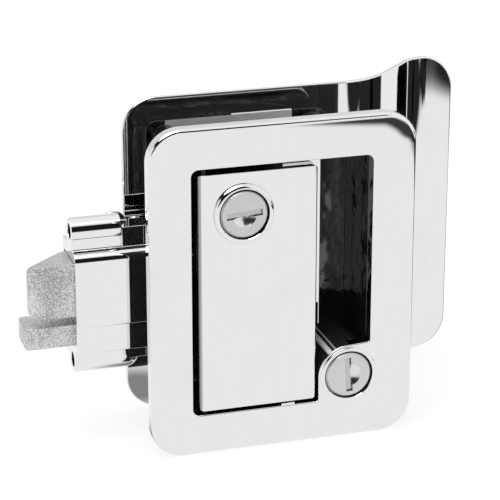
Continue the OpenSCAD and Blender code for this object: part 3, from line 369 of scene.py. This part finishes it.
def distance_to_line(tree, place, start, end):
    """How far a point of the floor lies from a line between two points given in millimetres."""
    span = [(b - a) * MM for a, b in zip(start, end)]
    square = span[0] ** 2 + span[1] ** 2
    away = [math_node(tree, "SUBTRACT", value, a * MM) for value, a in zip(place, start)]
    shares = [math_node(tree, "MULTIPLY", value, part / square) for value, part in zip(away, span)]
    along = math_node(tree, "ADD", *shares)
    along = math_node(tree, "MINIMUM", math_node(tree, "MAXIMUM", along, 0), 1)
    passed = [math_node(tree, "MULTIPLY", along, part) for part in span]
    return length_of(tree, [math_node(tree, "SUBTRACT", a, b) for a, b in zip(away, passed)])


def floor_tone(tree):
    """How bright the floor looks in chrome: a dark strip beside the lock, bags farther off, its own shade."""
    place = split_place(tree, tree.nodes.new("ShaderNodeTexCoord").outputs["Object"])
    across = math_node(tree, "SUBTRACT", place["X"], STRIP_CENTRE[0])
    front = math_node(tree, "SUBTRACT", STRIP_CENTRE[1], place["Y"])
    strip = soft_band(tree, angle_of(tree, across, front), STRIP_LIMITS, STRIP_SOFT)
    tone = math_node(tree, "SUBTRACT", FLOOR_IN_CHROME, math_node(tree, "MULTIPLY", strip, STRIP_DEPTH))
    for start, end, radius, soft, depth in DARK_BAGS.values():
        distance = distance_to_line(tree, (place["X"], place["Y"]), start, end)
        bag = remap(tree, distance, (radius - soft) * MM, (radius + soft) * MM, 1 - depth, 1)
        tone = math_node(tree, "MULTIPLY", tone, bag)
    return tone


def lay_floor():
    """A pale floor that glows to the camera, keeps the lock's shadow, and has its own tone in chrome."""
    bpy.ops.mesh.primitive_plane_add(size=FLOOR_WIDTH, location=(0, 0, cad_low.z - FLOOR_GAP))
    floor = bpy.context.object
    floor.name = "pale_floor"
    material = bpy.data.materials.new("pale_floor")
    material.use_nodes = True
    tree = material.node_tree
    tree.nodes.clear()
    diffuse = tree.nodes.new("ShaderNodeBsdfDiffuse")
    diffuse.inputs["Color"].default_value = (*FLOOR_SHADE, 1)
    glow = tree.nodes.new("ShaderNodeEmission")
    path = tree.nodes.new("ShaderNodeLightPath")
    brightness = math_node(tree, "MULTIPLY", path.outputs["Is Camera Ray"], FLOOR_GLOW)
    tree.links.new(brightness, glow.inputs["Strength"])
    plain = tree.nodes.new("ShaderNodeAddShader")
    tree.links.new(diffuse.outputs[0], plain.inputs[0])
    tree.links.new(glow.outputs[0], plain.inputs[1])
    mirrored = tree.nodes.new("ShaderNodeEmission")
    tree.links.new(floor_tone(tree), mirrored.inputs["Strength"])
    mix = tree.nodes.new("ShaderNodeMixShader")
    tree.links.new(path.outputs["Is Glossy Ray"], mix.inputs[0])
    tree.links.new(plain.outputs[0], mix.inputs[1])
    tree.links.new(mirrored.outputs[0], mix.inputs[2])
    output = tree.nodes.new("ShaderNodeOutputMaterial")
    tree.links.new(mix.outputs[0], output.inputs["Surface"])
    floor.data.materials.append(material)


# Shared surface effects

def new_group(name, inputs, outputs):
    """A group of shader nodes, with its inputs' usual values. Only an output called Color is a colour."""
    group = bpy.data.node_groups.new(name, "ShaderNodeTree")
    for label, value in inputs.items():
        kind = COLOUR if isinstance(value, tuple) else NUMBER
        socket = group.interface.new_socket(label, in_out="INPUT", socket_type=kind)
        socket.default_value = value
    for label in outputs:
        kind = COLOUR if label == "Color" else NUMBER
        group.interface.new_socket(label, in_out="OUTPUT", socket_type=kind)
    start = group.nodes.new("NodeGroupInput")
    end = group.nodes.new("NodeGroupOutput")
    return group, start.outputs, end.inputs


def handling_film():
    """Faint finger marks and fine wiping lines, as they gather on polished and plated metal."""
    group, given, made = new_group(
        "handling_film",
        {"Clean": WHITE, "Film": WHITE, "Low Roughness": 0.05, "High Roughness": 0.12, "Size": 60},
        ["Color", "Roughness"])
    fingers = noise(group, object_place(group), given["Size"], detail=4, rough=0.55)
    wiping = noise(group, object_place(group, WIPING_LINES), scale=1, detail=2)
    marks = remap(group, fingers, 0.5, 0.75)
    lines = remap(group, wiping, 0.55, 0.75, to_low=0, to_high=0.3)
    mask = math_node(group, "MAXIMUM", marks, lines)
    rough = between(group, mask, given["Low Roughness"], given["High Roughness"])
    group.links.new(blend_colour(group, mask, given["Clean"], given["Film"]), made["Color"])
    group.links.new(rough, made["Roughness"])
    return group


def cast_grain():
    """Tumbled casting: small dents with dark floors and bright worn highs."""
    group, given, made = new_group(
        "cast_grain", {"High": WHITE, "Low": BLACK, "Grain": 1500}, ["Color", "Roughness", "Height"])
    place = object_place(group)
    dents = group.nodes.new("ShaderNodeTexVoronoi")
    dents.feature = "SMOOTH_F1"
    group.links.new(place, dents.inputs["Vector"])
    group.links.new(given["Grain"], dents.inputs["Scale"])
    fine_scale = math_node(group, "MULTIPLY", given["Grain"], 1.7)
    broad_scale = math_node(group, "MULTIPLY", given["Grain"], 0.12)
    fine = noise(group, place, fine_scale, detail=5, rough=0.6)
    broad = noise(group, place, broad_scale, detail=3)
    breakup = math_node(group, "ADD", fine, math_node(group, "MULTIPLY", broad, 0.3))
    mask = remap(group, breakup, 0.5, 0.8)
    height = math_node(group, "ADD", dents.outputs["Distance"], math_node(group, "MULTIPLY", fine, 0.7))
    group.links.new(blend_colour(group, mask, given["Low"], given["High"]), made["Color"])
    group.links.new(remap(group, mask, 0, 1, to_low=0.52, to_high=0.3), made["Roughness"])
    group.links.new(height, made["Height"])
    return group


def brush_lines():
    """Fine parallel lines of a brushed face."""
    group, given, made = new_group(
        "brush_lines", {"Bright": WHITE, "Shade": BLACK}, ["Color", "Roughness", "Height"])
    lines = noise(group, object_place(group, BRUSHED_LINES), scale=1, detail=4, rough=0.6)
    cloud = noise(group, object_place(group), scale=260, detail=3)
    patches = remap(group, cloud, 0.2, 0.7, to_low=0.55, to_high=1)
    mask = math_node(group, "MULTIPLY", remap(group, lines, 0.3, 0.7), patches)
    group.links.new(blend_colour(group, mask, given["Shade"], given["Bright"]), made["Color"])
    group.links.new(remap(group, lines, 0.2, 0.8, to_low=0.3, to_high=0.44), made["Roughness"])
    group.links.new(lines, made["Height"])
    return group


def painted_reflection_streaks():
    """Painted reflections as bright streaks along a boss's wall into the door, over that wall's painted
    shade.
    """
    group, given, made = new_group(
        "painted_reflection_streaks",
        {"Bright": WHITE, "Shade": BLACK, "Axis X": 0, "Axis Z": 0},
        ["Color", "Roughness", "Height"])
    place = split_place(group, object_place(group))
    across = math_node(group, "SUBTRACT", place["X"], given["Axis X"])
    above = math_node(group, "SUBTRACT", place["Z"], given["Axis Z"])
    angle = angle_of(group, above, across)
    lines = noise(group, object_place(group, STREAK_BREAKUP_LINES), scale=1, detail=3)
    breakup = remap(group, lines, 0.3, 0.6, to_low=0.75, to_high=1)
    mask = 0
    for limits, brightness in PAINTED_REFLECTION_ANGLES:
        streak = math_node(group, "MULTIPLY", soft_band(group, angle, limits, STREAK_SOFT), brightness)
        mask = math_node(group, "MAXIMUM", streak, mask)
    mask = math_node(group, "MULTIPLY", mask, breakup)
    group.links.new(blend_colour(group, mask, given["Shade"], given["Bright"]), made["Color"])
    group.links.new(remap(group, mask, 0, 1, to_low=0.2, to_high=0.34), made["Roughness"])
    group.links.new(breakup, made["Height"])
    return group


def buffed_edge():
    """The soft roll-off that buffing leaves along a plate's rounded outline, as a height in metres."""
    group, given, made = new_group(
        "buffed_edge",
        {"Half Width": 0.05, "Half Height": 0.05, "Corner": 0.01, "Reach": 0.005, "Depth": 0.0002},
        ["Height"])
    place = split_place(group, object_place(group))
    beyond = []
    for axis, half in (("X", given["Half Width"]), ("Z", given["Half Height"])):
        straight = math_node(group, "SUBTRACT", half, given["Corner"])
        from_middle = math_node(group, "ABSOLUTE", place[axis])
        beyond.append(math_node(group, "SUBTRACT", from_middle, straight))
    corner_reach = length_of(group, [math_node(group, "MAXIMUM", value, 0) for value in beyond])
    side_reach = math_node(group, "MINIMUM", math_node(group, "MAXIMUM", *beyond), 0)
    reached = math_node(group, "ADD", corner_reach, side_reach)
    inside = math_node(group, "SUBTRACT", given["Corner"], reached)
    share = math_node(group, "SUBTRACT", 1, math_node(group, "DIVIDE", inside, given["Reach"]))
    near = math_node(group, "MAXIMUM", share, 0)
    drop = math_node(group, "MULTIPLY", math_node(group, "MULTIPLY", near, near), given["Depth"])
    group.links.new(math_node(group, "MULTIPLY", drop, -1), made["Height"])
    return group


def painted_gap_shade():
    """Painted shade of the gap round a turned face, from a radius about its axis outwards."""
    group, given, made = new_group(
        "painted_gap_shade",
        {"Clean": WHITE, "Painted Shade": BLACK, "Axis X": 0, "Axis Z": 0, "Radius": 0.01},
        ["Color"])
    place = split_place(group, object_place(group))
    away = [math_node(group, "SUBTRACT", place[axis], given["Axis " + axis]) for axis in ("X", "Z")]
    past = math_node(group, "SUBTRACT", length_of(group, away), given["Radius"])
    mask = remap(group, past, -GAP_SHADE_SOFT, GAP_SHADE_SOFT)
    group.links.new(blend_colour(group, mask, given["Clean"], given["Painted Shade"]), made["Color"])
    return group


def painted_side_shade():
    """Painted shade along one straight side of a plate, darkest at the edge and gone a little way in from it.
    """
    group, given, made = new_group(
        "painted_side_shade", {"Clean": WHITE, "Painted Shade": BLACK, "Edge X": 0, "Reach": 0.001}, ["Color"])
    place = split_place(group, object_place(group))
    inside = math_node(group, "SUBTRACT", place["X"], given["Edge X"])
    mask = remap(group, math_node(group, "DIVIDE", inside, given["Reach"]), 0.75, 1)
    group.links.new(blend_colour(group, mask, given["Painted Shade"], given["Clean"]), made["Color"])
    return group


def moulded_skin():
    """Gloss of a painted or moulded black skin: slow waves and a fine speckle."""
    group, given, made = new_group(
        "moulded_skin",
        {"Deep": BLACK, "Sheen": WHITE, "Low Roughness": 0.1, "High Roughness": 0.2, "Wave": 110},
        ["Color", "Roughness", "Height"])
    place = object_place(group)
    speckle_scale = math_node(group, "MULTIPLY", given["Wave"], 14)
    wave = noise(group, place, given["Wave"], detail=2, rough=0.45)
    speckle = noise(group, place, speckle_scale, detail=3)
    mask = remap(group, speckle, 0.4, 0.75)
    rough = between(group, speckle, given["Low Roughness"], given["High Roughness"])
    height = math_node(group, "ADD", wave, math_node(group, "MULTIPLY", speckle, 0.02))
    group.links.new(blend_colour(group, mask, given["Deep"], given["Sheen"]), made["Color"])
    group.links.new(rough, made["Roughness"])
    group.links.new(height, made["Height"])
    return group


EFFECTS = {
    maker.__name__: maker()
    for maker in (
        handling_film, cast_grain, brush_lines, painted_reflection_streaks, buffed_edge, painted_gap_shade, painted_side_shade, moulded_skin)
}


# Materials

def place_effect(tree, effect, values):
    surface = tree.nodes.new("ShaderNodeGroup")
    surface.node_tree = EFFECTS[effect]
    for label, value in values.items():
        surface.inputs[label].default_value = (*value, 1) if isinstance(value, tuple) else value
    return surface


def add_relief(material, height, strength, depth):
    tree = material.node_tree
    relief = tree.nodes.new("ShaderNodeBump")
    relief.inputs["Strength"].default_value = strength
    relief.inputs["Distance"].default_value = depth
    tree.links.new(height, relief.inputs["Height"])
    tree.links.new(relief.outputs["Normal"], tree.nodes["Principled BSDF"].inputs["Normal"])


def finish(name, effect, values, metallic, bump=0.0, bump_depth=0.0, ior=1.5):
    """A material whose colour and roughness come from a shared effect, with its height as a bump."""
    material = bpy.data.materials.new(name)
    material.use_nodes = True
    tree = material.node_tree
    shader = tree.nodes["Principled BSDF"]
    shader.inputs["Metallic"].default_value = metallic
    shader.inputs["IOR"].default_value = ior
    surface = place_effect(tree, effect, values)
    tree.links.new(surface.outputs["Color"], shader.inputs["Base Color"])
    tree.links.new(surface.outputs["Roughness"], shader.inputs["Roughness"])
    if bump:
        add_relief(material, surface.outputs["Height"], bump, bump_depth)
    return material


def add_painted_shade(material, effect, values):
    """Lays a second effect over the colour a material has so far."""
    tree = material.node_tree
    base = tree.nodes["Principled BSDF"].inputs["Base Color"]
    shade_layer = place_effect(tree, effect, values)
    tree.links.new(base.links[0].from_socket, shade_layer.inputs["Clean"])
    tree.links.new(shade_layer.outputs["Color"], base)


POLISH = {"Clean": CHROME, "Film": CHROME_FILM, "Low Roughness": 0.03, "High Roughness": 0.055, "Size": 55}
bright_chrome = finish("bright_chrome", "handling_film", POLISH, metallic=1)
buffed_chrome = finish("buffed_chrome", "handling_film", POLISH, metallic=1)
roll_off = place_effect(buffed_chrome.node_tree, "buffed_edge", BEZEL_ROLL_OFF)
add_relief(buffed_chrome, roll_off.outputs["Height"], strength=1, depth=1)
bare_casting_and_shade = finish(
    "bare_casting_and_shade", "cast_grain",
    {"High": BEZEL_BACK_DARK, "Low": BEZEL_BACK_DARKER, "Grain": 900},
    metallic=0.6, bump=0.3, bump_depth=0.2 * MM)
pale_casting = finish(
    "pale_casting", "cast_grain",
    {"High": PALE_CASTING, "Low": PALE_CASTING_LOW, "Grain": 900},
    metallic=0, bump=0.3, bump_depth=0.2 * MM)
shutter_nickel = finish(
    "shutter_nickel", "brush_lines",
    {"Bright": SHADED_SHUTTER_NICKEL, "Shade": SHUTTER_SHADE},
    metallic=1, bump=0.15, bump_depth=0.05 * MM)
tumbled_zinc = finish(
    "tumbled_zinc", "cast_grain",
    {"High": ZINC, "Low": ZINC_DARK, "Grain": 1000},
    metallic=1, bump=0.5, bump_depth=0.25 * MM)
plated_steel = finish(
    "plated_steel", "handling_film",
    {"Clean": STEEL, "Film": STEEL_DULL, "Low Roughness": 0.2, "High Roughness": 0.38, "Size": 420},
    metallic=1)
spring_wire = finish(
    "spring_wire", "handling_film",
    {"Clean": SPRING_WIRE, "Film": SPRING_DARK, "Low Roughness": 0.22, "High Roughness": 0.4, "Size": 700},
    metallic=1)
oxide_and_keyway_shade = finish(
    "oxide_and_keyway_shade", "handling_film",
    {"Clean": BLACK_OXIDE_AND_SHADE, "Film": BLACK_OXIDE_WORN, "Low Roughness": 0.35, "High Roughness": 0.5,
     "Size": 700},
    metallic=0.5)
# The boss wall: painted shade with painted reflection streaks, lit as a diffuse surface
boss_wall_painted_reflections = finish(
    "boss_wall_painted_reflections", "painted_reflection_streaks",
    {"Bright": PAINTED_STREAK_BRIGHT, "Shade": BOSS_WALL_PAINTED_DARK,
     "Axis X": BOSS_MIDDLE[0] * MM, "Axis Z": BOSS_MIDDLE[1] * MM},
    metallic=0, bump=0.2, bump_depth=0.1 * MM)
gloss_black = finish(
    "gloss_black", "moulded_skin",
    {"Deep": HOUSING_BLACK, "Sheen": HOUSING_SHEEN, "Low Roughness": 0.06, "High Roughness": 0.16,
     "Wave": 110},
    metallic=0, bump=0.6, bump_depth=1.5 * MM, ior=1.8)
foam_rubber = finish(
    "foam_rubber", "moulded_skin",
    {"Deep": RUBBER, "Sheen": RUBBER_DUST, "Low Roughness": 0.7, "High Roughness": 0.9, "Wave": 500},
    metallic=0, bump=0.5, bump_depth=0.3 * MM)
handle_chrome = finish("handle_chrome", "handling_film", POLISH, metallic=1)
# Painted shade along the handle's hinge side, where its barrel rounds away
add_painted_shade(
    handle_chrome, "painted_side_shade",
    {"Painted Shade": HINGE_SIDE_SHADE, "Edge X": HANDLE_SIDE * MM, "Reach": SIDE_SHADE_REACH * MM})
scoop_nickel = finish(
    "scoop_nickel", "handling_film",
    {"Clean": SATIN_NICKEL, "Film": SATIN_SHADE, "Low Roughness": 0.2, "High Roughness": 0.28, "Size": 300},
    metallic=1)


def plug_nickel(node, axis):
    """Satin nickel of a plug's face, with painted shade in the gap round it."""
    material = finish(
        node + "_nickel", "brush_lines",
        {"Bright": SATIN_NICKEL, "Shade": SATIN_SHADE},
        metallic=1, bump=0.15, bump_depth=0.05 * MM)
    middle = [place + offset * MM for place, offset in zip(axis, GAP_SHADE_OFFSET)]
    # Painted shade in the gap between the plug and its sleeve
    add_painted_shade(
        material, "painted_gap_shade",
        {"Painted Shade": BLACK_OXIDE_AND_SHADE, "Axis X": middle[0], "Axis Z": middle[1], "Radius": PLUG_SHADE_FROM * MM})
    return material


# Pieces

def select_only(piece):
    bpy.ops.object.select_all(action="DESELECT")
    piece.select_set(True)
    bpy.context.view_layer.objects.active = piece


def apply_modifier(piece, kind, **settings):
    modifier = piece.modifiers.new(kind.lower(), kind)
    for label, value in settings.items():
        setattr(modifier, label, value)
    bpy.context.view_layer.objects.active = piece
    bpy.ops.object.modifier_apply(modifier=modifier.name)


def ease_edges(piece, width, clamp):
    """Rounds the sharp edges, by a width in millimetres."""
    apply_modifier(
        piece, "BEVEL", width=width * MM, segments=EASED_STEPS, limit_method="ANGLE",
        angle_limit=math.radians(EASED_FROM), use_clamp_overlap=clamp, loop_slide=False)


def smooth_curves(piece, within):
    """Shades faces that meet under an angle as one curve, and keeps the large ones flat."""
    select_only(piece)
    bpy.ops.object.shade_smooth_by_angle(angle=math.radians(within))
    apply_modifier(piece, "WEIGHTED_NORMAL", keep_sharp=True, weight=FACE_WEIGHT)


def dressed(node, material, edge=0.0, smooth_within=SMOOTH_WITHIN):
    """A copy of a solid with its triangles merged, its sharp edges eased and its curves smooth."""
    select_only(nodes[node])
    bpy.ops.object.duplicate()
    piece = bpy.context.object
    piece.name = node + "_finished"
    del piece["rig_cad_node"]
    bpy.ops.object.mode_set(mode="EDIT")
    bpy.ops.mesh.select_all(action="SELECT")
    bpy.ops.mesh.remove_doubles(threshold=MERGE_WITHIN)
    bpy.ops.mesh.customdata_custom_splitnormals_clear()
    bpy.ops.mesh.dissolve_limited(angle_limit=math.radians(FLAT_WITHIN))
    bpy.ops.object.mode_set(mode="OBJECT")
    if edge:
        ease_edges(piece, edge, clamp=False)
    smooth_curves(piece, smooth_within)
    piece.data.materials.clear()
    piece.data.materials.append(material)
    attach(piece, body_of_node[node])
    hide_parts(node)
    return piece


def repaint(piece, material, wanted):
    """Gives the faces that a test picks another finish."""
    piece.data.materials.append(material)
    slot = len(piece.data.materials) - 1
    for face in piece.data.polygons:
        if wanted(face):
            face.material_index = slot


def faces_door(face):
    return face.normal.y > DOOR_SIDE


def on_boss_wall(face):
    """Whether a face lies on the round wall of the lower cylinder's boss, behind the bezel's face."""
    away = Vector((face.center.x, face.center.z)) / MM - Vector(BOSS_MIDDLE)
    outward = Vector((face.normal.x, face.normal.z)).dot(away)
    on_wall = abs(away.length - BOSS_RADIUS) < BOSS_REACH
    return on_wall and outward > SQUARE_ON * away.length and face.center.y > BOSS_FRONT * MM


def dress_plug(node):
    """A plug whose keyway walls are painted black as shade, and a polished scoop beside it."""
    low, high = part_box(node)
    axis = (low[0] + high[0]) / 2, (low[2] + high[2]) / 2
    plug = dressed(node, plug_nickel(node, axis), edge=0.05)

    def in_keyway(face):
        return math.hypot(face.center.x - axis[0], face.center.z - axis[1]) <= KEYWAY_REACH * MM

    def is_wall(face):
        return in_keyway(face) and abs(face.normal.y) < WALL_SHARE

    def is_scoop(face):
        return in_keyway(face) and SCOOP_SHARES[0] < face.normal.y < SCOOP_SHARES[1]

    # Keyway walls painted black as shade
    repaint(plug, oxide_and_keyway_shade, is_wall)
    repaint(plug, scoop_nickel, is_scoop)


def bare_strip(housing):
    """Leaves the top of the housing's back unpainted, and the part of its top that stands over the step."""
    start, step, end = (place * MM for place in BARE_STRIP)
    select_only(housing)
    bpy.ops.object.mode_set(mode="EDIT")
    cuts = [((place, 0, 0), (1, 0, 0)) for place in (start, step, end)]
    cuts.append(((0, BARE_TOP_FROM, 0), (0, 1, 0)))
    for place, direction in cuts:
        bpy.ops.mesh.select_all(action="SELECT")
        bpy.ops.mesh.bisect(plane_co=place, plane_no=direction)
    bpy.ops.object.mode_set(mode="OBJECT")

    def is_bare(face):
        on_back = face.normal.y > SQUARE_ON and start < face.center.x < end
        on_top = face.normal.z > SQUARE_ON and step < face.center.x < end
        return on_back or (on_top and face.center.y > BARE_TOP_FROM)

    repaint(housing, pale_casting, is_bare)


def new_box(name, low, high):
    """A box between two corners in millimetres, with its origin left at the frame's origin."""
    bpy.ops.object.select_all(action="DESELECT")
    bpy.ops.mesh.primitive_cube_add(size=1)
    piece = bpy.context.object
    piece.name = name
    middle = [(a + b) / 2 * MM for a, b in zip(low, high)]
    spans = [(b - a) * MM for a, b in zip(low, high)]
    bpy.ops.object.mode_set(mode="EDIT")
    bpy.ops.mesh.select_all(action="SELECT")
    bpy.ops.transform.resize(value=spans, center_override=(0, 0, 0))
    bpy.ops.transform.translate(value=middle)
    bpy.ops.object.mode_set(mode="OBJECT")
    return piece


def combine(piece, other, operation):
    apply_modifier(piece, "BOOLEAN", operation=operation, object=other, solver="EXACT")
    bpy.data.objects.remove(other)


def grip_plate():
    """The finger plate behind the handle, cut away round the lower cylinder, with its stop foot."""
    plate = new_box("grip_plate", *GRIP_PLATE)
    for corners in GRIP_CUTS:
        combine(plate, new_box("grip_cut", *corners), "DIFFERENCE")
    combine(plate, new_box("grip_foot", *GRIP_FOOT), "UNION")
    ease_edges(plate, GRIP_EDGE, clamp=True)
    smooth_curves(plate, SMOOTH_WITHIN)
    plate.data.materials.append(bright_chrome)
    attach(plate, body_of_node["paddle_handle"])


# Chrome pieces, and how far their edges are eased in millimetres
CHROME_PIECES = {
    "handle_lock_sleeve": 0, "deadbolt_lock_sleeve": 0, "latch_case": 0.3,
    "latch_case_cover": 0.2, "interior_plate": 0.65, "inside_lever": 0.5, "thumb_turn": 0.35,
}
STEEL_PIECES = [
    "handle_lock_nut", "handle_lock_cam", "handle_cam_screw", "deadbolt_lock_nut",
    "deadbolt_tailpiece", "deadbolt_crank", "thumb_bush", "case_cover_screws", "case_screws", "latch_slide",
    "latch_rivets", "deadbolt_slide", "deadbolt_rivets", "plate_screws", "lever_bush", "lever_spindle",
    "lever_cam", "lever_screw",
]

for node, edge in CHROME_PIECES.items():
    dressed(node, bright_chrome, edge)
dressed("paddle_handle", handle_chrome, edge=0.14)
grip_plate()
bezel = dressed("exterior_bezel", buffed_chrome, edge=0.4)
# The door side of the bezel: bare casting, painted dark as shade
repaint(bezel, bare_casting_and_shade, faces_door)
# The boss's wall takes painted shade and painted reflection streaks
repaint(bezel, boss_wall_painted_reflections, on_boss_wall)
for node in ("handle_lock_plug", "deadbolt_lock_plug"):
    dress_plug(node)
# Shutters painted darker as shade in the keyways
for node in ("handle_lock_shutter", "deadbolt_lock_shutter"):
    dressed(node, shutter_nickel, edge=0.05)
for node in ("latch_bolt", "deadbolt"):
    dressed(node, tumbled_zinc, edge=0.25)
for node in ("handle_spring", "latch_spring", "lever_clip"):
    dressed(node, spring_wire, smooth_within=WIRE_SMOOTH_WITHIN)
dressed("hinge_pin", oxide_and_keyway_shade, smooth_within=WIRE_SMOOTH_WITHIN)
bare_strip(dressed("pocket_housing", gloss_black, edge=0.2))
dressed("bezel_gasket", foam_rubber, edge=0.2)
for node in STEEL_PIECES:
    dressed(node, plated_steel, edge=0.12)

light_world()
lay_floor()
hang_lamp()
place_camera()

view = bpy.context.scene.view_settings
view.view_transform = "Standard"
